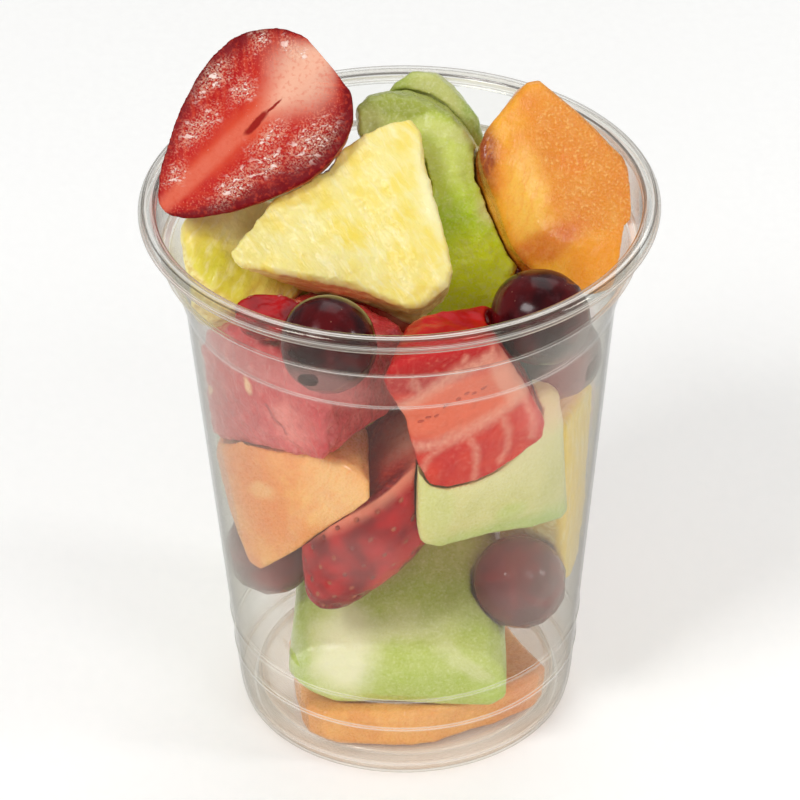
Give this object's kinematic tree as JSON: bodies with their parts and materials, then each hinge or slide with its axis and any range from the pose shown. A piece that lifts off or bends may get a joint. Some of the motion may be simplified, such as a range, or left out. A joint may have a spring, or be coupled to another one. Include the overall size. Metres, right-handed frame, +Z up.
{
  "type": "fruit cup",
  "caption": "Clear round plastic cup with a curled rim, heaped with cut strawberry, pineapple, melon and whole red grapes.",
  "frame": {"origin": "middle of the round foot, on the surface the cup stands on", "axes": "+Z up along the cup's axis, +X to the right and -Y towards the side that the picture shows"},
  "size_m": [0.098, 0.098, 0.1363],
  "materials": {
    "plastic": "clear, thin-walled, misted inside with condensation",
    "strawberry": "wet cut flesh and seeded skin",
    "pineapple": "wet fibrous flesh",
    "honeydew": "wet smooth flesh",
    "cantaloupe": "wet grainy flesh",
    "watermelon": "wet crumbly flesh",
    "grape": "smooth dark skin with a wet sheen"
  },
  "bodies": {
    "root": {"cup": "plastic", "strawberry_top": "strawberry", "pineapple_front": "pineapple", "cantaloupe_top": "cantaloupe", "honeydew_top": "honeydew", "grape_front_left": "grape", "grape_right_upper": "grape", "strawberry_centre": "strawberry", "grape_right": "grape", "pineapple_left": "pineapple", "honeydew_back": "honeydew", "watermelon_left": "watermelon", "strawberry_small": "strawberry", "cantaloupe_left": "cantaloupe", "honeydew_mid": "honeydew", "strawberry_low": "strawberry", "grape_low_right": "grape", "grape_low_left": "grape", "honeydew_low": "honeydew", "cantaloupe_low": "cantaloupe", "pineapple_right": "pineapple", "watermelon_right": "watermelon", "cantaloupe_inner": "cantaloupe", "pineapple_base": "pineapple", "watermelon_base": "watermelon", "honeydew_rear": "honeydew", "grape_rear": "grape", "cantaloupe_rear": "cantaloupe", "strawberry_rear": "strawberry", "watermelon_side": "watermelon", "pineapple_rear": "pineapple", "honeydew_side": "honeydew", "grape_rear_high": "grape"}
  },
  "joints": []
}
